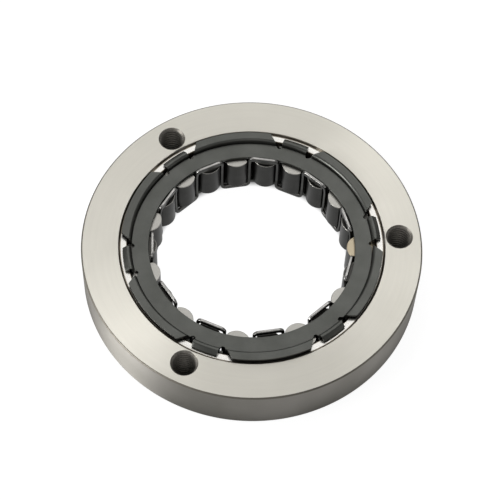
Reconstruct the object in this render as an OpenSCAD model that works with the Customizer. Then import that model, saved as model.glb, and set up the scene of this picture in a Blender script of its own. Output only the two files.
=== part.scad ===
// One-way starter clutch: a bolted outer ring with a double-caged, spring-loaded sprag set.
// Millimetres. The origin is the centre of the ring's underside, +Z points to the side with
// the cage flange, and the first tapped hole lies on +X.

/* [Outer ring] */
// Outside diameter of the ring
ring_d = 100; // [98:1:112]
// Thickness of the ring
ring_t = 15.4; // [15:0.2:20]
// Radial wall of the ring, from the hardened track to the outside
ring_wall = 13.45; // [13.3:0.05:14]
// Bevel on the ring's outside edges
edge_bevel = 0.35; // [0.1:0.05:0.6]
// Radial room around the cage flange in its recess
recess_room = 0.45; // [0.2:0.05:0.5]
// Bevel at the mouth of the recess
mouth_bevel = 0.45; // [0.1:0.05:0.45]

/* [Tapped holes] */
// Number of tapped holes
bolt_count = 3; // [3:1:6]
// Land left between the recess's mouth and the holes
hole_land = 0.25; // [0.1:0.05:0.9]
// Tap drill diameter, for an 8 mm screw
tap_d = 6.8; // [5:0.1:7]
// Mouth diameter of the countersinks
sink_d = 8; // [7.2:0.1:8]

/* [Sprags] */
// Number of sprags, always even
sprag_count = 22; // [20:2:22]
// Radial height between the track and the hub that runs in the clutch
race_gap = 8.5; // [8.3:0.05:8.8]
// Length of a sprag
sprag_len = 11.5; // [9:0.5:11.5]
// Depth of the sprags' end faces under the ring's face
sprag_depth = 1.85; // [1.8:0.05:2.2]
// How far the relaxed sprags reach inside the hub's surface
sprag_preload = 0.15; // [0.05:0.05:0.2]
// Sideways offset of each cam's centre from the sprag's middle
cam_offset = 0.5; // [0.3:0.05:0.6]

/* [Cages] */
// Sheet thickness of both cages
sheet_t = 0.75; // [0.6:0.05:0.8]
// Height of the outer cage's flange above the ring's face
flange_rise = 0.9; // [0.8:0.05:1.2]
// How far the flange reaches outside the track
flange_reach = 1.75; // [1.5:0.05:1.8]
// Slope of the drag tabs below the flange
tab_slope = 40; // [30:1:42]
// Number of drag tabs
tab_count = 6; // [3:1:6]
// Width of a drag tab
tab_w = 7.7; // [6:0.1:8]
// Slant of the notches' outer sides
notch_slant = 48; // [40:1:50]
// Turn of the cage set from the first tapped hole
cage_turn = 5; // [0:1:59]
// Turn of the first sprag from the first drag tab
sprag_turn = 8.7; // [0:0.1:16]

/* [Ribbon spring] */
// Radial thickness of the ribbon
ribbon_t = 0.85; // [0.6:0.05:0.9]
// Height of the ribbon's loops
loop_h = 1.6; // [1.2:0.1:1.7]
// Height of the upper loops above the ring's face
loop_rise = 0.5; // [0.2:0.1:0.8]
// Width of the bars between the sprags
bar_w = 0.84; // [0.6:0.02:0.9]

/* [Hidden] */
$fn = 96;
TRACK_R = ring_d / 2 - ring_wall;
HUB_R = TRACK_R - race_gap;
PITCH = 360 / sprag_count;

// Free room round the sprags: at their flanks, at the track and at their ends
SPRAG_ROOM = 0.4;
TRACK_ROOM = 0.15;
END_ROOM = 0.3;

// Free room between the cages, round the ribbon, at the hub and under the drag tabs
CAGE_ROOM = 0.15;
RIBBON_ROOM = 0.1;
HUB_ROOM = 0.85;
DRAG_ROOM = 0.06;

// Outer cage: wall, bend, flange arcs and the slightly shorter drag tabs
WALL_ROOM = 0.45;
BEND_IN_R = 0.25;
TAB_SHORT = 0.4;
WALL_R = TRACK_R - WALL_ROOM - sheet_t;
BEND_R = BEND_IN_R + sheet_t;
BEND_X = WALL_R + BEND_R;
FLANGE_R = TRACK_R + flange_reach;
FLANGE_Z = ring_t + flange_rise;
BEND_Z = FLANGE_Z - BEND_R;
TAB_R = FLANGE_R - TAB_SHORT;
TAB_LEN = (TAB_R - BEND_X - BEND_R * sin(tab_slope)) / cos(tab_slope);
// Lowest corner of a drag tab, which rides just above the recess floor
TAB_LOW_Z = BEND_Z + BEND_IN_R * cos(tab_slope) - TAB_LEN * sin(tab_slope);

// Recess in the outer ring
RECESS_R = FLANGE_R + recess_room;
RECESS_Z = TAB_LOW_Z - DRAG_ROOM;
TRACK_BEVEL = 0.25;
// The bevel at the mouth ends a little above the recess floor
FLOOR_ROOM = 0.05;
MOUTH_BEVEL = min(mouth_bevel, ring_t - RECESS_Z - FLOOR_ROOM);
MOUTH_R = RECESS_R + MOUTH_BEVEL;

// Pitch circle of the tapped holes
BOLT_R = MOUTH_R + hole_land + sink_d / 2;

// Levels of the sprags, of the cages' windows and of their closed lower rims
RIM_H = 1.15;
SPRAG_TOP = ring_t - sprag_depth;
SPRAG_LOW = SPRAG_TOP - sprag_len;
WINDOW_TOP = SPRAG_TOP + END_ROOM;
WINDOW_LOW = SPRAG_LOW - END_ROOM;
CAGE_LOW = WINDOW_LOW - RIM_H;

// Ribbon spring: loops over every second sprag, bars between all of them
LOOP_BULGE = 0.45;
LOOP_CORNER_R = 2;
LOOP_R = HUB_R + HUB_ROOM;
BAR_R = LOOP_R + LOOP_BULGE;
BAR_OUT_R = BAR_R + ribbon_t;
LOOP_TOP = ring_t + loop_rise;
LOOP_LOW = WINDOW_LOW - loop_h + RIBBON_ROOM;
BAR_Y = (BAR_R + BAR_OUT_R) / 2 * sin(PITCH / 2);
CORNER_STEPS = 3;
CORNER_X = LOOP_R + LOOP_CORNER_R;
CORNER_Y = BAR_Y + bar_w / 2 - sqrt(pow(LOOP_CORNER_R, 2) - pow(LOOP_CORNER_R - ribbon_t, 2));

// Inner cage: flat ring at the top, windowed wall below its inner edge
LIP_R = BAR_OUT_R + RIBBON_ROOM;
LIP_TOP = WINDOW_TOP + CAGE_ROOM + sheet_t;
LIP_OUT_R = WALL_R - CAGE_ROOM;
INNER_POST_W = 1;
OUTER_POST_W = 2;

// Sprag section, about its own middle, with x pointing outward
CAM_FLARE = 0.7;
CAM_OUT_SHARE = 0.49;
CAM_IN_SHARE = 0.48;
WAIST_R = 1.5;
WAIST_DEPTH = 0.6;
PIVOT_R = (TRACK_R - TRACK_ROOM + HUB_R - sprag_preload) / 2;
SPRAG_H = TRACK_R - TRACK_ROOM - HUB_R + sprag_preload;
CAM_OUT_R = SPRAG_H * CAM_OUT_SHARE;
CAM_IN_R = SPRAG_H * CAM_IN_SHARE;
SPRAG_IN_W = 2 * (BAR_R * tan(PITCH / 2) - bar_w / 2 - SPRAG_ROOM);
SPRAG_OUT_W = SPRAG_IN_W + CAM_FLARE;

// Notches between the tabs and the arcs of the flange
NOTCH_ROOT_R = 0.7;
NOTCH_BITE = 0.6;
NOTCH_ROOT_X = WALL_R - NOTCH_BITE;
NOTCH_LOW = SPRAG_TOP;

// How far a cutting tool runs past what it cuts
OVERRUN = 1;

function sprag_name(i) = str("sprag_", i < 9 ? "0" : "", i + 1);
function sprag_angle(i) = cage_turn + sprag_turn + i * PITCH;
function has_upper_loop(i) = i % 2 == 0;
function turned(p, a) = [p.x * cos(a) - p.y * sin(a), p.x * sin(a) + p.y * cos(a)];
// Width between posts that stand one pitch apart on a wall of radius r
function window_w(r, post_w) = 2 * r * tan(PITCH / 2) - post_w;

// A tapped through hole, as its drilled bore with a countersink at both faces
module tapped_hole() {
    sink_h = (sink_d - tap_d) / 2;
    translate([0, 0, -OVERRUN])
        cylinder(d = tap_d, h = ring_t + 2 * OVERRUN);
    translate([0, 0, ring_t - sink_h])
        cylinder(d1 = tap_d, d2 = sink_d, h = sink_h);
    cylinder(d1 = sink_d, d2 = tap_d, h = sink_h);
}

// Outer ring: ground faces, hardened track, shallow recess for the cage flange
module housing() {
    color([0.83, 0.81, 0.77])
        difference() {
            rotate_extrude()
                polygon([
                    [TRACK_R + TRACK_BEVEL, 0],
                    [ring_d / 2 - edge_bevel, 0],
                    [ring_d / 2, edge_bevel],
                    [ring_d / 2, ring_t - edge_bevel],
                    [ring_d / 2 - edge_bevel, ring_t],
                    [MOUTH_R, ring_t],
                    [RECESS_R, ring_t - MOUTH_BEVEL],
                    [RECESS_R, RECESS_Z],
                    [TRACK_R + TRACK_BEVEL, RECESS_Z],
                    [TRACK_R, RECESS_Z - TRACK_BEVEL],
                    [TRACK_R, TRACK_BEVEL],
                ]);
            for (i = [0:bolt_count - 1])
                rotate(i * 360 / bolt_count)
                    translate([BOLT_R, 0, 0])
                        tapped_hole();
        }
}

// Section of the outer cage's sheet: wall, bend, and a leaf turned down by an angle
module cage_section(slope, leaf) {
    translate([WALL_R, CAGE_LOW])
        square([sheet_t, BEND_Z - CAGE_LOW]);
    translate([BEND_X, BEND_Z]) {
        intersection() {
            difference() {
                circle(BEND_R);
                circle(BEND_R - sheet_t);
            }
            polygon([
                [0, 0],
                [-2 * BEND_R, 0],
                [-2 * BEND_R, 2 * BEND_R],
                [2 * BEND_R * sin(slope), 2 * BEND_R * cos(slope)],
            ]);
        }
        rotate(-slope)
            translate([0, BEND_R - sheet_t])
                square([leaf, sheet_t]);
    }
}

// The sectors of the outer cage that carry the drag tabs
module tab_sectors() {
    for (i = [0:tab_count - 1])
        rotate(i * 360 / tab_count)
            translate([WALL_R - OVERRUN, -tab_w / 2, CAGE_LOW - OVERRUN])
                cube([FLANGE_R - WALL_R + 2 * OVERRUN, tab_w, FLANGE_Z - CAGE_LOW + 2 * OVERRUN]);
}

// One notch beside a tab: straight along the tab, round at its root, slanted along the arc
module notch_outline() {
    root_y = tab_w / 2 + NOTCH_ROOT_R;
    run = FLANGE_R + OVERRUN - NOTCH_ROOT_X;
    slant_x = NOTCH_ROOT_X - NOTCH_ROOT_R * sin(notch_slant);
    slant_y = root_y + NOTCH_ROOT_R * cos(notch_slant);
    translate([NOTCH_ROOT_X, root_y])
        circle(NOTCH_ROOT_R);
    polygon([
        [NOTCH_ROOT_X, tab_w / 2],
        [NOTCH_ROOT_X + run, tab_w / 2],
        [NOTCH_ROOT_X + run, slant_y + (NOTCH_ROOT_X + run - slant_x) * tan(notch_slant)],
        [slant_x, slant_y],
        [NOTCH_ROOT_X, root_y],
    ]);
}

// A notch on both sides of every tab
module notches() {
    for (i = [0:tab_count - 1])
        for (side = [0, 1])
            rotate(i * 360 / tab_count)
                mirror([0, side, 0])
                    translate([0, 0, NOTCH_LOW])
                        linear_extrude(FLANGE_Z - NOTCH_LOW + OVERRUN)
                            notch_outline();
}

// A window for every sprag through a wall that starts at radius r
module windows(r, width) {
    for (i = [0:sprag_count - 1])
        rotate(sprag_turn + i * PITCH)
            translate([r - OVERRUN, -width / 2, WINDOW_LOW])
                cube([sheet_t + 2 * OVERRUN, width, WINDOW_TOP - WINDOW_LOW]);
}

// Outer cage: windowed wall, six flat flange arcs and six drag tabs bent down between them
module outer_cage() {
    color([0.36, 0.36, 0.34])
        rotate(cage_turn)
            difference() {
                union() {
                    difference() {
                        rotate_extrude()
                            cage_section(0, FLANGE_R - BEND_X);
                        tab_sectors();
                    }
                    intersection() {
                        rotate_extrude()
                            cage_section(tab_slope, TAB_LEN);
                        tab_sectors();
                    }
                }
                windows(WALL_R, window_w(WALL_R, OUTER_POST_W));
                notches();
            }
}

// Inner cage: flat ring over the sprags' ends, posts between the sprags, closing rim below
module inner_cage() {
    color([0.35, 0.35, 0.33])
        rotate(cage_turn)
            difference() {
                rotate_extrude()
                    polygon([
                        [LIP_R, CAGE_LOW],
                        [LIP_R + sheet_t, CAGE_LOW],
                        [LIP_R + sheet_t, LIP_TOP - sheet_t],
                        [LIP_OUT_R, LIP_TOP - sheet_t],
                        [LIP_OUT_R, LIP_TOP],
                        [LIP_R, LIP_TOP],
                    ]);
                windows(LIP_R, window_w(LIP_R, INNER_POST_W));
                notches();
            }
}

// Points of one edge of a loop, seen from above at a sprag on +X: a straight middle between two
// corners of radius corner_r, which end at radius end_r from the ring's axis
function loop_edge(corner_r, end_r) =
    let (
        centre_r = norm([CORNER_X, CORNER_Y]),
        cos_end = (pow(centre_r, 2) + pow(corner_r, 2) - pow(end_r, 2)) / (2 * corner_r * centre_r),
        sweep = acos(cos_end) - atan2(CORNER_Y, CORNER_X),
        corner = [
            for (k = [0:CORNER_STEPS])
                let (a = sweep * k / CORNER_STEPS)
                    [CORNER_X - corner_r * cos(a), CORNER_Y + corner_r * sin(a)]
        ]
    )
    concat(
        [for (k = [CORNER_STEPS:-1:0]) [corner[k].x, -corner[k].y]],
        corner
    );

// The same edge, repeated all the way round
function ribbon_edge(corner_r, end_r) = [
    for (i = [0:sprag_count - 1])
        for (p = loop_edge(corner_r, end_r))
            turned(p, i * PITCH)
];

// Outline of the whole ribbon, seen from above
module ribbon_outline() {
    difference() {
        polygon(ribbon_edge(LOOP_CORNER_R - ribbon_t, BAR_OUT_R));
        polygon(ribbon_edge(LOOP_CORNER_R, BAR_R));
    }
}

// Outline of the space between two bars, seen from above, at a sprag on +X
module bar_space() {
    r_low = LOOP_R - OVERRUN;
    r_top = BAR_OUT_R + OVERRUN;
    polygon([
        turned([r_low, -bar_w / 2], PITCH / 2),
        turned([r_low, bar_w / 2], -PITCH / 2),
        turned([r_top, bar_w / 2], -PITCH / 2),
        turned([r_top, -bar_w / 2], PITCH / 2),
    ]);
}

// Ribbon spring: one strip that runs over, down, under and up between the sprags
module ribbon_spring() {
    ribbon_h = LOOP_TOP - LOOP_LOW;
    color([0.55, 0.55, 0.52])
        rotate(cage_turn + sprag_turn)
            translate([0, 0, LOOP_LOW])
                difference() {
                    linear_extrude(ribbon_h)
                        ribbon_outline();
                    for (i = [0:sprag_count - 1])
                        rotate(i * PITCH)
                            translate([0, 0, has_upper_loop(i) ? -OVERRUN : loop_h])
                                linear_extrude(ribbon_h - loop_h + OVERRUN)
                                    bar_space();
                }
}

// One half of the sprag's section: a round cam trimmed to flat sides
module cam_half(cam_r, reach, offset_y, width) {
    intersection() {
        translate([reach - cam_r, offset_y])
            circle(cam_r);
        translate([0, -width / 2])
            square([reach + OVERRUN, width]);
    }
}

// Section of a sprag: outer cam, inner cam, and a hollow on each flank
module sprag_section() {
    difference() {
        union() {
            cam_half(CAM_OUT_R, SPRAG_H / 2, cam_offset, SPRAG_OUT_W);
            mirror([1, 0])
                cam_half(CAM_IN_R, SPRAG_H / 2, -cam_offset, SPRAG_IN_W);
        }
        for (side = [-1, 1])
            translate([0, side * (SPRAG_OUT_W / 2 + WAIST_R - WAIST_DEPTH)])
                circle(WAIST_R);
    }
}

// One sprag, standing between the track and the hub's place
module sprag(i) {
    color([0.42, 0.41, 0.39])
        rotate(sprag_angle(i))
            translate([PIVOT_R, 0, SPRAG_LOW])
                linear_extrude(sprag_len)
                    sprag_section();
}

housing();
outer_cage();
inner_cage();
ribbon_spring();
for (i = [0:sprag_count - 1])
    sprag(i);
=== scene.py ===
import math
import bpy
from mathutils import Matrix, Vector


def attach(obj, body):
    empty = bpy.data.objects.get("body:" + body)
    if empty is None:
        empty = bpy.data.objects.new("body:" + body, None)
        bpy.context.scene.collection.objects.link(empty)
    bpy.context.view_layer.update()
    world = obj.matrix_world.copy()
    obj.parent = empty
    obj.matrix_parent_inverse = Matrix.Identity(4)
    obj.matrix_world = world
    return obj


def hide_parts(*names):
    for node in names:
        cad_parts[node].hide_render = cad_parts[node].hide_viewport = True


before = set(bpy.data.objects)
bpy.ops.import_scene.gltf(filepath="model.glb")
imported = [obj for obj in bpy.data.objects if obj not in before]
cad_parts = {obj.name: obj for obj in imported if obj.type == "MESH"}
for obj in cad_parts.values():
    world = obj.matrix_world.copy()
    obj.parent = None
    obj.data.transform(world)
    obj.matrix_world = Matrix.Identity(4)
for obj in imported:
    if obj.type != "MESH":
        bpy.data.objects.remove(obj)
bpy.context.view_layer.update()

# The outer ring: a turned and hardened steel ring with ground faces. A shallow recess round its
# bore takes the cage flange, and three M8 holes bolt it to the flywheel. Its faces are ground
# light, its outside is left as turned, and its threads and the mouths of its holes are dark.
MM = 0.001
RING_R = 50.0
RING_T = 15.4
TRACK_R = 36.55
MOUTH_R = 39.2
RECESS_R = 38.75
RECESS_Z = 14.67
BOLT_R = 43.45
THREAD_R = 3.97
TAP_R = 3.4
THREAD_PITCH = 1.25
HOLE_ANGLES = (0, 120, 240)
SINK_REACH = 0.8
SINK_ROOM = 0.03
THREAD_TURNS = 17
MERGE = 0.002


def pick(part):
    """Selects one part alone and makes it the active one."""
    bpy.ops.object.select_all(action="DESELECT")
    part.select_set(True)
    bpy.context.view_layer.objects.active = part


def start_part(name):
    """The part that was just added, named, with its place applied."""
    part = bpy.context.object
    part.name = name
    part.data.name = name
    bpy.ops.object.transform_apply(location=True, rotation=True, scale=True)
    return part


def drawn_part(name, points, edges, faces):
    """A part from points in millimetres, with the edges or faces between them."""
    mesh = bpy.data.meshes.new(name)
    mesh.from_pydata([(x * MM, y * MM, z * MM) for x, y, z in points], edges, faces)
    part = bpy.data.objects.new(name, mesh)
    bpy.context.scene.collection.objects.link(part)
    return part


def turned_part(name, outline, steps=360):
    """A closed outline of radii and heights in millimetres, turned about the clutch's axis."""
    first_r, first_z = outline[0]
    bpy.ops.object.select_all(action="DESELECT")
    bpy.ops.mesh.primitive_circle_add(vertices=steps, radius=first_r * MM, location=(0, 0, first_z * MM))
    part = start_part(name)
    bpy.ops.object.mode_set(mode="EDIT")
    bpy.ops.mesh.select_all(action="SELECT")
    for (r0, z0), (r1, z1) in zip(outline, outline[1:] + outline[:1]):
        bpy.ops.mesh.extrude_edges_move()
        bpy.ops.transform.resize(value=(r1 / r0, r1 / r0, 1), center_override=(0, 0, 0))
        bpy.ops.transform.translate(value=(0, 0, (z1 - z0) * MM))
    bpy.ops.mesh.select_all(action="SELECT")
    bpy.ops.mesh.remove_doubles(threshold=MERGE * MM)
    bpy.ops.mesh.normals_make_consistent(inside=False)
    bpy.ops.object.mode_set(mode="OBJECT")
    return part


def cut(part, tool):
    """Cuts the part with a tool and throws the tool away."""
    bpy.context.view_layer.objects.active = part
    step = part.modifiers.new("step", "BOOLEAN")
    step.operation = "DIFFERENCE"
    step.solver = "EXACT"
    step.object = tool
    bpy.ops.object.modifier_apply(modifier=step.name)
    bpy.data.objects.remove(tool)


def turn_part(part, angle, move=(0, 0, 0)):
    """Moves a part by millimetres and then turns it about the clutch's axis, in its mesh."""
    pick(part)
    part.location = Vector(move) * MM
    bpy.ops.object.transform_apply(location=True, rotation=False, scale=False)
    part.rotation_euler = (0, 0, math.radians(angle))
    bpy.ops.object.transform_apply(location=False, rotation=True, scale=False)


def shade_part(part, angle):
    """Shades a part smooth up to an angle, with its large faces kept even."""
    pick(part)
    bpy.ops.object.shade_smooth_by_angle(angle=math.radians(angle))
    even = part.modifiers.new("even", "WEIGHTED_NORMAL")
    even.keep_sharp = True
    bpy.ops.object.modifier_apply(modifier=even.name)


def thread_tap(name):
    """A full thread form with closed ends, which cuts the thread of one hole."""
    flank = (THREAD_R - TAP_R) * math.tan(math.radians(30))
    crest = THREAD_PITCH / 8
    root = THREAD_PITCH - crest - 2 * flank
    profile = [
        (TAP_R, 0),
        (TAP_R, root),
        (THREAD_R, root + flank),
        (THREAD_R, root + flank + crest),
        (TAP_R, THREAD_PITCH),
    ]
    points = [(r, 0, z - 2 * THREAD_PITCH) for r, z in profile]
    tap = drawn_part(name, points, [(i, i + 1) for i in range(len(profile) - 1)], [])
    pick(tap)
    turns = tap.modifiers.new("turns", "SCREW")
    turns.screw_offset = THREAD_PITCH * MM
    turns.iterations = THREAD_TURNS
    turns.steps = 40
    turns.render_steps = 40
    bpy.ops.object.modifier_apply(modifier=turns.name)
    bpy.ops.object.mode_set(mode="EDIT")
    bpy.ops.mesh.select_all(action="SELECT")
    bpy.ops.mesh.remove_doubles(threshold=MERGE * MM)
    for height, side in ((RING_T + 1, 1), (-1, -1)):
        bpy.ops.mesh.select_all(action="SELECT")
        bpy.ops.mesh.bisect(
            plane_co=(0, 0, height * MM),
            plane_no=(0, 0, side),
            use_fill=True,
            clear_outer=True,
            threshold=0.0001 * MM,
        )
    bpy.ops.mesh.select_all(action="SELECT")
    bpy.ops.mesh.normals_make_consistent(inside=False)
    bpy.ops.object.mode_set(mode="OBJECT")
    return tap


def countersink(name, face_z, up):
    """A cone that opens a hole's mouth to 8 mm at one face."""
    bpy.ops.object.select_all(action="DESELECT")
    bpy.ops.mesh.primitive_cone_add(
        vertices=96,
        radius1=(THREAD_R + SINK_ROOM - up * SINK_REACH) * MM,
        radius2=(THREAD_R + SINK_ROOM + up * SINK_REACH) * MM,
        depth=2 * SINK_REACH * MM,
        location=(0, 0, face_z * MM),
    )
    return start_part(name)


# The broken outer edge, as distances inward from the side and from the face.
EDGE_CUT = ((0.45, 0), (0.32, 0.04), (0.05, 0.31), (0, 0.45))
ring_outline = [
    (TRACK_R, 0.3),
    (TRACK_R + 0.06, 0.14),
    (TRACK_R + 0.28, 0),
    *((RING_R - side, face) for side, face in EDGE_CUT),
    *((RING_R - side, RING_T - face) for side, face in reversed(EDGE_CUT)),
    (MOUTH_R + 0.05, RING_T),
    (MOUTH_R - 0.05, RING_T - 0.06),
    (RECESS_R + 0.03, RING_T - 0.43),
    (RECESS_R, RING_T - 0.52),
    (RECESS_R, RECESS_Z + 0.18),
    (RECESS_R - 0.1, RECESS_Z + 0.05),
    (RECESS_R - 0.35, RECESS_Z),
    (TRACK_R + 0.28, RECESS_Z),
    (TRACK_R + 0.06, RECESS_Z - 0.12),
    (TRACK_R, RECESS_Z - 0.3),
]
outer_ring = turned_part("outer_ring", ring_outline)
for angle in HOLE_ANGLES:
    tools = (thread_tap("tap"), countersink("top_mouth", RING_T, 1), countersink("low_mouth", 0, -1))
    for tool in tools:
        turn_part(tool, angle, (BOLT_R, 0, 0))
        cut(outer_ring, tool)

# The cuts leave a tiny gap in the mesh, which is filled.
pick(outer_ring)
bpy.ops.object.mode_set(mode="EDIT")
bpy.ops.mesh.select_mode(type="EDGE")
bpy.ops.mesh.select_all(action="DESELECT")
bpy.ops.mesh.select_non_manifold(
    extend=False,
    use_wire=False,
    use_boundary=True,
    use_multi_face=False,
    use_non_contiguous=False,
    use_verts=False,
)
bpy.ops.mesh.fill_holes(sides=6)
bpy.ops.mesh.select_mode(type="FACE")
bpy.ops.object.mode_set(mode="OBJECT")


class Finish:
    """A material being built: its node tree, its shader, and the object's coordinates."""

    def __init__(self, name):
        self.material = bpy.data.materials.new(name)
        self.material.use_nodes = True
        self.tree = self.material.node_tree
        self.shader = next(n for n in self.tree.nodes if n.type == "BSDF_PRINCIPLED")
        self.place = self.tree.nodes.new("ShaderNodeTexCoord").outputs["Object"]

    def node(self, kind, inputs, out=0, **settings):
        """Adds a node, sets or links its inputs by name or number, and returns one output."""
        made = self.tree.nodes.new("ShaderNode" + kind)
        for key, value in settings.items():
            setattr(made, key, value)
        for key, value in inputs.items():
            if isinstance(value, bpy.types.NodeSocket):
                self.tree.links.new(value, made.inputs[key])
            else:
                made.inputs[key].default_value = value
        return made.outputs[out]

    def math(self, operation, a, b=0.0, **settings):
        return self.node("Math", {0: a, 1: b}, operation=operation, **settings)

    def round_place(self, along_r, along_arc, along_z):
        """Coordinates round the clutch's axis, stretched by counts per metre, turn and metre."""
        parts = self.tree.nodes.new("ShaderNodeSeparateXYZ")
        self.tree.links.new(self.place, parts.inputs[0])
        x, y, z = parts.outputs
        squares = self.math("ADD", self.math("MULTIPLY", x, x), self.math("MULTIPLY", y, y))
        r = self.math("SQRT", squares)
        arc = self.math("ARCTAN2", y, x)
        return self.node(
            "CombineXYZ",
            {
                0: self.math("MULTIPLY", r, along_r),
                1: self.math("MULTIPLY", arc, along_arc),
                2: self.math("MULTIPLY", z, along_z),
            },
        )

    def noise(self, vector, scale, detail=3.0, roughness=0.55):
        return self.node(
            "TexNoise", {"Vector": vector, "Scale": scale, "Detail": detail, "Roughness": roughness}
        )

    def spread(self, value, low, high, to_low, to_high):
        """Maps a value from one range to another."""
        return self.node("MapRange", {0: value, 1: low, 2: high, 3: to_low, 4: to_high})

    def blend(self, share, colour_a, colour_b):
        """A colour between two, by a share from 0 to 1."""
        made = self.tree.nodes.new("ShaderNodeMix")
        made.data_type = "RGBA"
        for key, value in ((0, share), (6, colour_a), (7, colour_b)):
            if isinstance(value, bpy.types.NodeSocket):
                self.tree.links.new(value, made.inputs[key])
            else:
                made.inputs[key].default_value = value if key == 0 else (*value, 1)
        return made.outputs[2]

    def ramp(self, value, stops):
        """Grey levels along a value, from stops that each have a position and a level."""
        made = self.tree.nodes.new("ShaderNodeValToRGB")
        self.tree.links.new(value, made.inputs[0])
        elements = made.color_ramp.elements
        for element, (position, level) in zip(elements, (stops[0], stops[-1])):
            element.position = position
            element.color = (level, level, level, 1)
        for position, level in stops[1:-1]:
            elements.new(position).color = (level, level, level, 1)
        return made.outputs[0]

    def bump(self, height, strength, depth_mm):
        return self.node("Bump", {"Height": height, "Strength": strength, "Distance": depth_mm * MM})

    def groove_round(self):
        """Stretches the shine across grooves that run round the clutch's axis."""
        way = self.node("Tangent", {}, direction_type="RADIAL", axis="Z")
        self.tree.links.new(way, self.shader.inputs["Tangent"])
        self.shader.inputs["Anisotropic"].default_value = 0.85
        self.shader.inputs["Anisotropic Rotation"].default_value = 0.25

    def finish(self, colour, roughness, normal, metallic):
        """Joins colour, roughness and normal to the shader and returns the material."""
        self.tree.links.new(colour, self.shader.inputs["Base Color"])
        self.tree.links.new(roughness, self.shader.inputs["Roughness"])
        self.tree.links.new(normal, self.shader.inputs["Normal"])
        self.shader.inputs["Metallic"].default_value = metallic
        return self.material


def ground_steel():
    """Light faces with fine circular grinding lines and a faint cloudiness."""
    steel = Finish("ground_steel")
    lines = steel.noise(steel.round_place(9000, 3.0, 0), 1.0, 4.0, 0.7)
    clouds = steel.noise(steel.place, 55.0, 2.0)
    streaks = steel.noise(steel.round_place(1100, 1.6, 0), 1.0, 2.0)
    marks = steel.math("ADD", steel.math("MULTIPLY", lines, 0.35), steel.math("MULTIPLY", streaks, 0.25))
    tone = steel.math("ADD", marks, steel.math("MULTIPLY", clouds, 0.4))
    colour = steel.blend(steel.spread(tone, 0.3, 0.7, 0, 1), (0.70, 0.675, 0.605), (0.79, 0.765, 0.69))
    roughness = steel.spread(lines, 0.3, 0.7, 0.40, 0.50)
    normal = steel.bump(lines, 0.25, 0.01)
    steel.groove_round()
    return steel.finish(colour, roughness, normal, 1.0)


def turned_steel():
    """The ring's outside, darker, with lines left by turning."""
    steel = Finish("turned_steel")
    lines = steel.noise(steel.round_place(0, 1.5, 7000), 1.0, 3.0, 0.7)
    clouds = steel.noise(steel.place, 40.0, 2.0)
    colour = steel.blend(steel.spread(clouds, 0.35, 0.65, 0, 1), (0.27, 0.26, 0.235), (0.34, 0.325, 0.30))
    roughness = steel.spread(lines, 0.3, 0.7, 0.50, 0.60)
    normal = steel.bump(lines, 0.3, 0.012)
    steel.groove_round()
    return steel.finish(colour, roughness, normal, 1.0)


def broken_edge():
    """The outer edges, broken with a fine cut that stays darker than the sides."""
    steel = Finish("broken_edge")
    lines = steel.noise(steel.round_place(9000, 2.0, 9000), 1.0, 2.0)
    colour = steel.blend(steel.spread(lines, 0.3, 0.7, 0, 1), (0.15, 0.14, 0.12), (0.20, 0.187, 0.16))
    roughness = steel.spread(lines, 0.3, 0.7, 0.43, 0.50)
    normal = steel.bump(lines, 0.15, 0.006)
    return steel.finish(colour, roughness, normal, 1.0)


def honed_steel():
    """The recess floor, where the drag tabs run: smoother and brighter than the faces."""
    steel = Finish("honed_steel")
    lines = steel.noise(steel.round_place(12000, 2.0, 12000), 1.0, 2.0)
    colour = steel.blend(steel.spread(lines, 0.3, 0.7, 0, 1), (0.66, 0.645, 0.61), (0.76, 0.745, 0.71))
    roughness = steel.spread(lines, 0.3, 0.7, 0.20, 0.27)
    normal = steel.bump(lines, 0.15, 0.006)
    return steel.finish(colour, roughness, normal, 1.0)


def hardened_track_painted_shade():
    """The track and the recess wall, brown-grey from hardening, and kept darker than the honed floor as
    painted shade where the track shows between the sprags.
    """
    steel = Finish("hardened_track_painted_shade")
    lines = steel.noise(steel.round_place(3000, 2.0, 6000), 1.0, 2.0)
    clouds = steel.noise(steel.place, 180.0, 2.0)
    colour = steel.blend(steel.spread(clouds, 0.35, 0.65, 0, 1), (0.18, 0.157, 0.125), (0.26, 0.23, 0.185))
    roughness = steel.spread(lines, 0.3, 0.7, 0.30, 0.42)
    normal = steel.bump(lines, 0.15, 0.006)
    return steel.finish(colour, roughness, normal, 0.95)


def dark_hole_steel():
    """Cut threads and the holes' countersinks, dark."""
    steel = Finish("dark_hole_steel")
    grain = steel.noise(steel.place, 3000.0, 3.0)
    colour = steel.blend(steel.spread(grain, 0.35, 0.65, 0, 1), (0.17, 0.16, 0.14), (0.32, 0.30, 0.27))
    roughness = steel.spread(grain, 0.35, 0.65, 0.42, 0.54)
    normal = steel.bump(grain, 0.2, 0.01)
    return steel.finish(colour, roughness, normal, 0.9)


GROUND, TURNED, HONED, HARDENED_SHADE, DARK_HOLE, BROKEN = range(6)
ring_finishes = {
    GROUND: ground_steel(),
    TURNED: turned_steel(),
    HONED: honed_steel(),
    HARDENED_SHADE: hardened_track_painted_shade(),
    DARK_HOLE: dark_hole_steel(),
    BROKEN: broken_edge(),
}
for made in ring_finishes.values():
    outer_ring.data.materials.append(made)
for face in outer_ring.data.polygons:
    r = math.hypot(face.center.x, face.center.y) / MM
    hole_distance = min(
        math.hypot(
            face.center.x / MM - BOLT_R * math.cos(math.radians(a)),
            face.center.y / MM - BOLT_R * math.sin(math.radians(a)),
        )
        for a in HOLE_ANGLES
    )
    level = abs(face.normal.z) > 0.99
    upright = abs(face.normal.z) < 0.2
    if hole_distance < THREAD_R + SINK_REACH + 0.1 and not level:
        face.material_index = DARK_HOLE
    elif level and r < RECESS_R:
        face.material_index = HONED
    # The track and the recess wall: brown-grey steel, darker partly as painted shade.
    elif r < MOUTH_R - 0.02:
        face.material_index = HARDENED_SHADE
    elif r > RING_R - 0.44 and not level:
        face.material_index = TURNED if upright else BROKEN
shade_part(outer_ring, 35)
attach(outer_ring, "ring")
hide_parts("housing")


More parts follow.
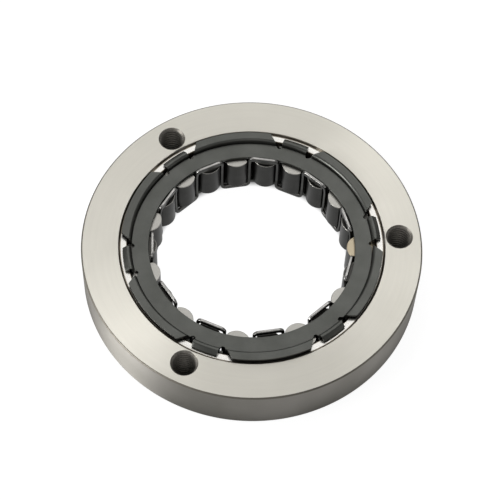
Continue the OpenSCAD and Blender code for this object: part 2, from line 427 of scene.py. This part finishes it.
# The outer cage: a pressed sheet ring with a window for every sprag. Its flange lies over the
# ring's recess, and six tabs of it are bent down to drag on the recess floor. The notches beside
# the tabs also bite into the flat ring of the inner cage, which stands inside the wall.
SPRAG_COUNT = 22
PITCH = math.radians(360 / SPRAG_COUNT)
FIRST_SPRAG = math.radians(13.7)
FIRST_TAB = 5
SHEET = 0.75
EDGE = 0.07
CAGE_LOW = 0.6
WALL_R = 35.35
FLANGE_R = 38.3
BEND_R = 1.0
BEND_X = 36.35
BEND_Z = 15.3
CURVE_STEPS = 8
TAB_COUNT = 6
TAB_W = 7.7
TAB_SLOPE = 40
TAB_LEN = 1.184
NOTCH_ROOT_R = 0.7
NOTCH_ROOT_X = 34.75
NOTCH_SLANT = 48
NOTCH_H = 5
WINDOW_LOW = 1.75
WINDOW_TOP = 13.85
POST_W = 2


def bend_point(angle, r, run=0.0):
    """A point of the bend, or of the leaf that runs on from its end, as radius and height."""
    a = math.radians(angle)
    return (BEND_X + r * math.cos(a) + run * math.sin(a), BEND_Z + r * math.sin(a) - run * math.cos(a))


def sheet_outline():
    """Outline of the outer cage's sheet before its tabs are bent: wall, bend and flat flange."""
    turns = [180 - 90 * k / CURVE_STEPS for k in range(CURVE_STEPS + 1)]
    low_r = BEND_R - SHEET
    top = BEND_Z + BEND_R
    points = [(WALL_R + EDGE, CAGE_LOW), (WALL_R, CAGE_LOW + EDGE)]
    points += [bend_point(turn, BEND_R) for turn in turns]
    points += [(FLANGE_R - EDGE, top), (FLANGE_R, top - EDGE)]
    points += [(FLANGE_R, top - SHEET + EDGE), (FLANGE_R - EDGE, top - SHEET)]
    points += [bend_point(turn, low_r) for turn in reversed(turns)]
    return points + [(WALL_R + SHEET, CAGE_LOW + EDGE), (WALL_R + SHEET - EDGE, CAGE_LOW)]


def bend_tab_down(part, turn):
    """Bends the tab at a turn further down, and shortens it to its length."""
    along = Vector((math.cos(math.radians(turn)), math.sin(math.radians(turn)), 0))
    across = Vector((-along.y, along.x, 0))
    end = 90 - TAB_SLOPE
    for corner in part.data.vertices:
        x, y, z = corner.co.dot(along) / MM, corner.co.dot(across) / MM, corner.co.z / MM
        r = math.hypot(x, y)
        if x < 0 or abs(y) > TAB_W / 2 + 0.01 or z < BEND_Z or r < WALL_R - 0.01:
            continue
        if r < BEND_X:
            angle = math.degrees(math.atan2(z - BEND_Z, r - BEND_X))
            angle = 180 - (180 - angle) * (180 - end) / 90
            new_r, new_z = bend_point(angle, math.hypot(r - BEND_X, z - BEND_Z))
        else:
            run = (r - BEND_X) * TAB_LEN / (FLANGE_R - BEND_X)
            new_r, new_z = bend_point(end, z - BEND_Z, run)
        corner.co = (along * math.sqrt(new_r ** 2 - y ** 2) + across * y) * MM + Vector((0, 0, new_z * MM))


def repeated(tool, turns):
    """One tool that holds a copy of the given one at each turn, in degrees."""
    copies = []
    for turn in turns:
        copy = tool.copy()
        copy.data = tool.data.copy()
        bpy.context.scene.collection.objects.link(copy)
        turn_part(copy, turn)
        copies.append(copy)
    bpy.data.objects.remove(tool)
    bpy.ops.object.select_all(action="DESELECT")
    for copy in copies:
        copy.select_set(True)
    bpy.context.view_layer.objects.active = copies[0]
    bpy.ops.object.join()
    return copies[0]


def box_tool(x0, x1, width, z0, z1):
    """A box that stands across the sheet at the first sprag or tab."""
    bpy.ops.object.select_all(action="DESELECT")
    bpy.ops.mesh.primitive_cube_add(size=MM, location=(0, 0, 0))
    tool = bpy.context.object
    tool.scale = (x1 - x0, width, z1 - z0)
    tool.location = Vector(((x0 + x1) / 2, 0, (z0 + z1) / 2)) * MM
    return start_part("box_tool")


def windows(r, post_w):
    """Boxes that cut a window for every sprag through a wall that starts at radius r."""
    width = 2 * r * math.tan(PITCH / 2) - post_w
    first = math.degrees(FIRST_SPRAG) - FIRST_TAB
    turns = [first + math.degrees(PITCH) * i for i in range(SPRAG_COUNT)]
    return repeated(box_tool(r - 1, r + SHEET + 1, width, WINDOW_LOW, WINDOW_TOP), turns)


def notches():
    """Prisms that cut a notch on both sides of every tab, round at its root."""
    root_y = TAB_W / 2 + NOTCH_ROOT_R
    far = FLANGE_R + 1
    slant_x = NOTCH_ROOT_X - NOTCH_ROOT_R * math.sin(math.radians(NOTCH_SLANT))
    slant_y = root_y + NOTCH_ROOT_R * math.cos(math.radians(NOTCH_SLANT))
    outline = [(far, TAB_W / 2)]
    outline += [(far, slant_y + (far - slant_x) * math.tan(math.radians(NOTCH_SLANT)))]
    for k in range(CURVE_STEPS + 1):
        a = math.radians(90 + NOTCH_SLANT + (180 - NOTCH_SLANT) * k / CURVE_STEPS)
        outline.append((NOTCH_ROOT_X + NOTCH_ROOT_R * math.cos(a), root_y + NOTCH_ROOT_R * math.sin(a)))
    tool = raised_part("notch_tool", outline, WINDOW_TOP, NOTCH_H)
    mirrored = tool.copy()
    mirrored.data = tool.data.copy()
    bpy.context.scene.collection.objects.link(mirrored)
    for corner in mirrored.data.vertices:
        corner.co.y = -corner.co.y
    mirrored.data.flip_normals()
    bpy.ops.object.select_all(action="DESELECT")
    mirrored.select_set(True)
    tool.select_set(True)
    bpy.context.view_layer.objects.active = tool
    bpy.ops.object.join()
    return repeated(tool, [360 / TAB_COUNT * k for k in range(TAB_COUNT)])


def raised_part(name, outline, low, height):
    """A closed outline, filled at a height above the floor and raised to a solid."""
    sides = [(k, (k + 1) % len(outline)) for k in range(len(outline))]
    part = drawn_part(name, [(x, y, low) for x, y in outline], sides, [])
    pick(part)
    bpy.ops.object.mode_set(mode="EDIT")
    bpy.ops.mesh.select_all(action="SELECT")
    bpy.ops.mesh.edge_face_add()
    bpy.ops.mesh.extrude_region_move(TRANSFORM_OT_translate={"value": (0, 0, height * MM)})
    bpy.ops.mesh.select_all(action="SELECT")
    bpy.ops.mesh.normals_make_consistent(inside=False)
    bpy.ops.object.mode_set(mode="OBJECT")
    return part


def round_edges(part, width, segments, angle):
    """Rounds the edges that turn by more than an angle, over a width in millimetres."""
    edges = part.modifiers.new("edges", "BEVEL")
    edges.width = width * MM
    edges.segments = segments
    edges.limit_method = "ANGLE"
    edges.angle_limit = math.radians(angle)
    bpy.ops.object.modifier_apply(modifier=edges.name)


def deburr(part):
    """Merges a cut sheet's flat faces, rounds its cut edges a little and shades it."""
    pick(part)
    bpy.ops.object.mode_set(mode="EDIT")
    bpy.ops.mesh.select_all(action="SELECT")
    bpy.ops.mesh.remove_doubles(threshold=2 * MERGE * MM)
    bpy.ops.mesh.dissolve_limited(angle_limit=math.radians(0.4))
    bpy.ops.object.mode_set(mode="OBJECT")
    round_edges(part, 0.06, 2, 60)
    shade_part(part, 50)


def cage_sheet():
    """Pressed sheet with a dark grey phosphate skin, finely mottled and a little glossy."""
    sheet = Finish("phosphated_sheet")
    grain = sheet.noise(sheet.place, 5500.0, 4.0, 0.65)
    clouds = sheet.noise(sheet.place, 130.0, 3.0)
    tone = sheet.math("ADD", sheet.math("MULTIPLY", grain, 0.5), sheet.math("MULTIPLY", clouds, 0.5))
    colour = sheet.blend(sheet.spread(tone, 0.35, 0.65, 0, 1), (0.078, 0.08, 0.073), (0.114, 0.116, 0.107))
    roughness = sheet.spread(grain, 0.3, 0.7, 0.33, 0.43)
    normal = sheet.bump(grain, 0.25, 0.012)
    return sheet.finish(colour, roughness, normal, 0.95)


sheet_finish = cage_sheet()
outer_cage = turned_part("flanged_cage", sheet_outline())
cut(outer_cage, windows(WALL_R, POST_W))
cut(outer_cage, notches())
for k in range(TAB_COUNT):
    bend_tab_down(outer_cage, 360 / TAB_COUNT * k)
turn_part(outer_cage, FIRST_TAB)
deburr(outer_cage)
outer_cage.data.materials.clear()
outer_cage.data.materials.append(sheet_finish)
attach(outer_cage, "cage_set")
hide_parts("outer_cage")


# The inner cage: the same sheet, with posts between the sprags and a closed rim below. Its top is
# a flat ring that covers the sprags' outer halves, with a soft inner edge.
LIP_R = 30.3
LIP_OUT_R = 35.2
LIP_TOP = 14.75
INNER_POST_W = 1

inner_outline = [
    (LIP_R + EDGE, CAGE_LOW),
    (LIP_R, CAGE_LOW + EDGE),
    (LIP_R, LIP_TOP - 0.1),
    (LIP_R + 0.03, LIP_TOP - 0.03),
    (LIP_R + 0.1, LIP_TOP),
    (LIP_OUT_R - EDGE, LIP_TOP),
    (LIP_OUT_R, LIP_TOP - EDGE),
    (LIP_OUT_R, LIP_TOP - SHEET + EDGE),
    (LIP_OUT_R - EDGE, LIP_TOP - SHEET),
    (LIP_R + SHEET, LIP_TOP - SHEET),
    (LIP_R + SHEET, CAGE_LOW + EDGE),
    (LIP_R + SHEET - EDGE, CAGE_LOW),
]
inner_cage = turned_part("flat_cage", inner_outline)
cut(inner_cage, windows(LIP_R, INNER_POST_W))
cut(inner_cage, notches())
turn_part(inner_cage, FIRST_TAB)
deburr(inner_cage)
inner_cage.data.materials.clear()
inner_cage.data.materials.append(sheet_finish)
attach(inner_cage, "cage_set")
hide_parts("inner_cage")


# The ribbon spring: one strip of spring steel that runs over one sprag, down between two, and
# under the next, all the way round. Its corners are bent round and its edges are rolled.
LOOP_R = 28.7
BAR_R = 29.35
RIBBON_T = 0.85
BAR_HALF = 0.42
RAIL_H = 1.6
LOOP_TOP = 15.9
LOOP_LOW = 0.25
CORNER_OUT = 1.7
CORNER_IN = 0.75
RAIL_STEPS = 5
BAR_LIFTS = (0, 2.5, 3.5, 4.5)
BAR_FROM = 5.0
BAR_OVER = 2.4
DEPTH_FROM = 0.8
DEPTH_OVER = 3.6


def ribbon_edge_points(inner):
    """Angle and height of one edge of an upper loop, from the middle of a bar to the next one.

    The inner edge runs under the rail and the outer edge over it. A lower loop is the same with
    its heights turned over."""
    bar_r = BAR_R + RIBBON_T / 2
    side = PITCH / 2 - BAR_HALF / bar_r if inner else PITCH / 2 + BAR_HALF / bar_r
    top = LOOP_TOP - RAIL_H if inner else LOOP_TOP
    corner = CORNER_IN if inner else CORNER_OUT
    middle = (LOOP_TOP + LOOP_LOW) / 2
    points = [(side, middle + lift) for lift in BAR_LIFTS]
    for k in range(CURVE_STEPS + 1):
        a = math.radians(90 * k / CURVE_STEPS)
        points.append((side - corner * (1 - math.cos(a)) / bar_r, top - corner * (1 - math.sin(a))))
    rail_end = side - corner / bar_r
    points += [(rail_end * (1 - k / RAIL_STEPS), top) for k in range(1, RAIL_STEPS + 1)]
    return points + [(-angle, z) for angle, z in points[-2::-1]]


def ease(share):
    """A smooth step from 0 to 1."""
    share = min(max(share, 0), 1)
    return share * share * (3 - 2 * share)


def ribbon_r(angle, z):
    """Inner radius of the ribbon: straight across a loop, and further out down its bars."""
    straight = LOOP_R / math.cos(angle)
    depth = min(LOOP_TOP - z, z - LOOP_LOW)
    at_bar = ease((abs(angle) - math.radians(BAR_FROM)) / math.radians(BAR_OVER))
    at_depth = ease((depth - DEPTH_FROM) / DEPTH_OVER)
    return straight + at_bar * at_depth * (BAR_R - straight)


# Each station is a cross-section of the strip, with four corners. Every second loop is turned over.
stations = []
for i in range(SPRAG_COUNT):
    upper = i % 2 == 0
    edges = [ribbon_edge_points(True), ribbon_edge_points(False)]
    edges = [[(-a, z) for a, z in edge] for edge in edges]
    if not upper:
        edges = [[(a, LOOP_TOP + LOOP_LOW - z) for a, z in edge] for edge in reversed(edges)]
    for (a0, z0), (a1, z1) in list(zip(*edges))[:-1]:
        corners = []
        for a, z, out in ((a0, z0, 0), (a1, z1, 0), (a1, z1, 1), (a0, z0, 1)):
            r = ribbon_r(a, z) + out * RIBBON_T
            turn = FIRST_SPRAG + i * PITCH + a
            corners.append((r * math.cos(turn), r * math.sin(turn), z))
        stations.append(corners)
count = len(stations)
faces = []
for s in range(count):
    after = (s + 1) % count
    for c in range(4):
        d = (c + 1) % 4
        faces.append((4 * s + c, 4 * s + d, 4 * after + d, 4 * after + c))
ribbon = drawn_part("ribbon", [corner for corners in stations for corner in corners], [], faces)
pick(ribbon)
bpy.ops.object.mode_set(mode="EDIT")
bpy.ops.mesh.select_all(action="SELECT")
bpy.ops.mesh.normals_make_consistent(inside=False)
bpy.ops.object.mode_set(mode="OBJECT")
round_edges(ribbon, 0.2, 3, 50)
shade_part(ribbon, 50)


def spring_steel(name, dark, light):
    """Cold-rolled ribbon with a smooth sheen, between a darker and a lighter colour."""
    steel = Finish(name)
    grain = steel.noise(steel.place, 2500.0, 3.0)
    clouds = steel.noise(steel.place, 400.0, 2.0)
    colour = steel.blend(steel.spread(clouds, 0.35, 0.65, 0, 1), dark, light)
    roughness = steel.spread(grain, 0.3, 0.7, 0.26, 0.36)
    normal = steel.bump(grain, 0.15, 0.01)
    return steel.finish(colour, roughness, normal, 1.0)


# The strip's faces that look up get a lighter copy of its steel. Sheared edges are really lighter, but
# giving the light copy only to faces that look up is a painted highlight.
FACE, SHEARED_LIT_TOP = range(2)
ribbon.data.materials.append(spring_steel("blued_face", (0.05, 0.05, 0.047), (0.08, 0.08, 0.075)))
ribbon.data.materials.append(spring_steel("sheared_edge_painted_highlight", (0.30, 0.295, 0.28), (0.42, 0.41, 0.395)))
for face in ribbon.data.polygons:
    face.material_index = SHEARED_LIT_TOP if face.normal.z > 0.6 else FACE
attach(ribbon, "cage_set")
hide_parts("ribbon_spring")


# The sprags: drawn and hardened steel with a rounded cam at both ends of the section and a
# hollow in each flank. Their ends are ground light, one of them turned straw-coloured by heat,
# but painted dark as shade where a loop of the ribbon lies over them. Flanks are dark from hardening.
STRAW_SPRAG = 22
SPRAG_LOW = 2.05
SPRAG_TOP = 13.55
SPRAG_H = 8.5
SPRAG_R = 32.15
CAM_OUT_R = 4.165
CAM_IN_R = 4.08
CAM_OFFSET = 0.5
SPRAG_OUT_W = 7.5
SPRAG_IN_W = 6.8
WAIST_R = 1.5
WAIST_DEPTH = 0.6


def in_sprag(x, y):
    """Whether a point of the section, in millimetres from its middle, lies in the steel."""
    outer = (CAM_OUT_R, CAM_OFFSET, SPRAG_OUT_W)
    inner = (CAM_IN_R, -CAM_OFFSET, SPRAG_IN_W)
    cam_r, offset, width = outer if x > 0 else inner
    waist_y = SPRAG_OUT_W / 2 + WAIST_R - WAIST_DEPTH
    in_cam = math.hypot(abs(x) - SPRAG_H / 2 + cam_r, y - offset) < cam_r
    return in_cam and abs(y) < width / 2 and math.hypot(x, abs(y) - waist_y) > WAIST_R


def sprag_outline(steps):
    """Points round the section, each found by halving along a ray from its middle."""
    points = []
    for k in range(steps):
        turn = 2 * math.pi * k / steps
        near, far = 0.0, SPRAG_H
        for _ in range(30):
            middle = (near + far) / 2
            if in_sprag(middle * math.cos(turn), middle * math.sin(turn)):
                near = middle
            else:
                far = middle
        points.append((near * math.cos(turn), near * math.sin(turn)))
    return points


def hardened_flank():
    """Drawn flanks, dark from hardening, with fine lines along the sprag."""
    steel = Finish("hardened_flank")
    lines = steel.noise(steel.round_place(5000, 150.0, 120), 1.0, 3.0)
    clouds = steel.noise(steel.place, 250.0, 2.0)
    tone = steel.math("ADD", steel.math("MULTIPLY", lines, 0.5), steel.math("MULTIPLY", clouds, 0.5))
    colour = steel.blend(steel.spread(tone, 0.35, 0.65, 0, 1), (0.026, 0.026, 0.024), (0.045, 0.045, 0.042))
    roughness = steel.spread(lines, 0.3, 0.7, 0.28, 0.40)
    normal = steel.bump(lines, 0.2, 0.01)
    return steel.finish(colour, roughness, normal, 0.9)


def ground_end(name, dark, light):
    """Ground end faces with fine lines, light, or dark as painted shade."""
    steel = Finish(name)
    lines = steel.noise(steel.round_place(6000, 300.0, 0), 1.0, 3.0)
    colour = steel.blend(steel.spread(lines, 0.3, 0.7, 0, 1), dark, light)
    roughness = steel.spread(lines, 0.3, 0.7, 0.30, 0.38)
    normal = steel.bump(lines, 0.2, 0.008)
    return steel.finish(colour, roughness, normal, 1.0)


FLANK, END, UNDER_LOOP_SHADE = range(3)
section = [(x + SPRAG_R, y) for x, y in sprag_outline(144)]
sprag = raised_part("sprag", section, SPRAG_LOW, SPRAG_TOP - SPRAG_LOW)
round_edges(sprag, 0.16, 2, 80)
sprag.data.materials.append(hardened_flank())
sprag.data.materials.append(ground_end("ground_end", (0.33, 0.32, 0.295), (0.43, 0.42, 0.39)))
# A dark copy of the ground end: painted shade for the ends that a loop of the ribbon lies over.
sprag.data.materials.append(ground_end("painted_shade_end", (0.045, 0.044, 0.04), (0.08, 0.078, 0.072)))
for face in sprag.data.polygons:
    face.material_index = END if abs(face.normal.z) > 0.2 else FLANK
shade_part(sprag, 50)
for i in range(SPRAG_COUNT):
    copy = sprag.copy()
    copy.data = sprag.data.copy()
    copy.name = f"steel_sprag_{i + 1:02d}"
    loop_side = 1 if i % 2 == 0 else -1
    # The flat end on the side of the ribbon's loop takes the dark copy, painted as the loop's shade.
    for face in copy.data.polygons:
        if face.normal.z * loop_side > 0.98:
            face.material_index = UNDER_LOOP_SHADE
    if i + 1 == STRAW_SPRAG:
        copy.data.materials[END] = ground_end("straw_end", (0.33, 0.265, 0.165), (0.47, 0.42, 0.33))
    bpy.context.scene.collection.objects.link(copy)
    turn_part(copy, math.degrees(FIRST_SPRAG + i * PITCH))
    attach(copy, f"sprag_{i + 1:02d}")
    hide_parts(f"sprag_{i + 1:02d}")
bpy.data.objects.remove(sprag)


# The floor: a plain white sweep that shows white to the camera and to gloss, and keeps the
# clutch's soft shadow. It glows in the open middle and outside the ring but not under it, which is
# a painted shadow, and near the ring it is dimmer for all but the camera, a painted contact shadow
# that the clutch's steel mirrors. The levels go by tenths of a metre.
bpy.ops.object.select_all(action="DESELECT")
bpy.ops.mesh.primitive_plane_add(size=4)
floor = start_part("floor")
paper = Finish("white_paper")
seen = paper.tree.nodes.new("ShaderNodeLightPath").outputs
seen_or_mirrored = paper.math("ADD", seen["Is Camera Ray"], seen["Is Glossy Ray"], use_clamp=True)
shown = paper.math("ADD", seen_or_mirrored, seen["Is Transmission Ray"], use_clamp=True)
reach = paper.node("VectorMath", {0: paper.place}, "Value", operation="LENGTH")
tenths = paper.math("MULTIPLY", reach, 10)
# No glow under the ring: a painted shadow.
glow_with_painted_shadow = paper.ramp(tenths, ((0.29, 0.96), (0.31, 0), (0.49, 0), (0.499, 0.9)))
# Dimmer near the ring for all but the camera: a painted contact shadow.
painted_contact_shadow = paper.ramp(tenths, ((0.29, 0.65), (0.31, 0.13), (0.50, 0.13), (0.75, 1)))
lit = paper.math("MAXIMUM", seen["Is Camera Ray"], painted_contact_shadow)
matte = paper.node("BsdfDiffuse", {"Color": (0.8, 0.8, 0.8, 1)})
faint = paper.node("BsdfDiffuse", {"Color": (0.25, 0.25, 0.25, 1)})
glow = paper.node("Emission", {"Color": glow_with_painted_shadow, "Strength": lit})
white = paper.node("AddShader", {0: faint, 1: glow})
choice = paper.node("MixShader", {0: shown, 1: matte, 2: white})
surface = next(n for n in paper.tree.nodes if n.type == "OUTPUT_MATERIAL").inputs["Surface"]
paper.tree.links.new(choice, surface)
paper.tree.nodes.remove(paper.shader)
floor.data.materials.append(paper.material)


# The light: an even pale room and eight soft boxes. Three stand behind the clutch, one high over
# its back, two at its left, one in front and one at its right. The low one at the left is by far
# the strongest and lights that side of the ring.
ROOM_LEVEL = 0.24
BOX_DISTANCE = 0.9
room = bpy.data.worlds.new("room")
room.use_nodes = True
room.node_tree.nodes["Background"].inputs["Color"].default_value = (1, 1, 1, 1)
room.node_tree.nodes["Background"].inputs["Strength"].default_value = ROOM_LEVEL
bpy.context.scene.world = room


def soft_box(name, azimuth, elevation, size, radiance):
    """A square soft box that points at the clutch's middle from an azimuth and an elevation."""
    light = bpy.data.lights.new(name, "AREA")
    light.shape = "SQUARE"
    light.size = size
    light.energy = radiance * math.pi * size ** 2
    lamp = bpy.data.objects.new(name, light)
    a, e = math.radians(azimuth), math.radians(elevation)
    way = Vector((math.cos(a) * math.cos(e), math.sin(a) * math.cos(e), math.sin(e)))
    lamp.location = way * BOX_DISTANCE
    lamp.rotation_euler = lamp.location.to_track_quat("Z", "Y").to_euler()
    bpy.context.scene.collection.objects.link(lamp)


soft_box("back_box", 90, 50, 0.5, 0.95)
soft_box("low_back_box", 90, 25, 0.4, 1.05)
soft_box("right_back_box", 50, 60, 0.3, 2.3)
soft_box("high_box", 124, 70, 0.25, 2.9)
soft_box("left_box", 199, 8, 0.42, 14.5)
soft_box("high_left_box", 166, 38, 0.35, 1.9)
soft_box("front_box", 270, 52, 0.35, 1.1)
soft_box("right_box", 335, 10, 0.4, 0.9)

# The camera stands where the photograph was taken from, 60 degrees up.
lens = bpy.data.cameras.new("camera")
lens.lens = 130.23
lens.sensor_width = 36
camera = bpy.data.objects.new("camera", lens)
camera.location = (-0.028944, -0.260448, 0.475648)
camera.rotation_euler = [math.radians(a) for a in (29.4194, -1.3616, -3.8212)]
bpy.context.scene.collection.objects.link(camera)
bpy.context.scene.camera = camera
bpy.context.scene.view_settings.view_transform = "Standard"
